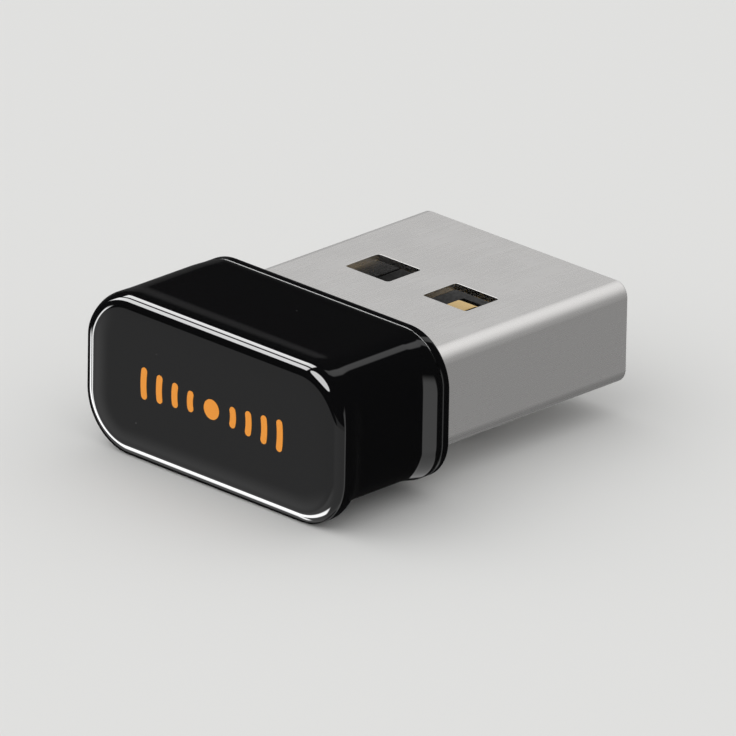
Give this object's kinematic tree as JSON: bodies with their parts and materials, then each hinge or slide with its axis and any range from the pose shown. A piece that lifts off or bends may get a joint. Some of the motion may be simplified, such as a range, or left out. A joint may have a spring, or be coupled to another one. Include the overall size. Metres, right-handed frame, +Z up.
{
  "type": "usb wifi adapter",
  "caption": "Nano wifi adapter with a small glossy black cap and a type A USB plug that carries the circuit board.",
  "frame": {"origin": "centre of the cap's flat front face, on the axis of the plug", "axes": "+Y the way the plug goes into the port, +X to the right seen from the front face, +Z up"},
  "size_m": [0.0148, 0.0185, 0.0072],
  "materials": {
    "gloss_black": "high gloss moulded black",
    "plug_steel": "nickel-plated folded steel, satin",
    "insulator": "matt moulded black",
    "gold_plate": "gold-plated, satin",
    "laminate": "green solder mask",
    "moulded_resin": "matt moulded resin",
    "can_metal": "satin metal lid",
    "capacitor_ceramic": "fired tan ceramic with tinned ends",
    "white_ceramic": "white ceramic with tinned ends",
    "ferrite": "dark ferrite with tinned ends",
    "led_lens": "cloudy clear resin",
    "orange_print": "printed ink"
  },
  "bodies": {
    "root": {"cap": "gloss_black", "end_plate": "gloss_black", "plug_shell": "plug_steel", "contact_carrier": "insulator", "contact_vbus": "gold_plate", "contact_data_minus": "gold_plate", "contact_data_plus": "gold_plate", "contact_ground": "gold_plate", "circuit_board": "laminate", "chip_antenna": "white_ceramic", "antenna_capacitor": "capacitor_ceramic", "antenna_inductor": "white_ceramic", "regulator": "moulded_resin", "input_capacitor": "capacitor_ceramic", "rf_filter": "white_ceramic", "status_led": "led_lens", "led_resistor": "moulded_resin", "wifi_chip": "moulded_resin", "crystal": "can_metal", "crystal_capacitor_1": "capacitor_ceramic", "crystal_capacitor_2": "capacitor_ceramic", "power_inductor": "ferrite", "bulk_capacitor": "capacitor_ceramic", "ferrite_bead": "ferrite", "bias_resistor": "moulded_resin", "decoupling_capacitor_1": "capacitor_ceramic", "decoupling_capacitor_2": "capacitor_ceramic", "decoupling_capacitor_3": "capacitor_ceramic"}
  },
  "joints": []
}
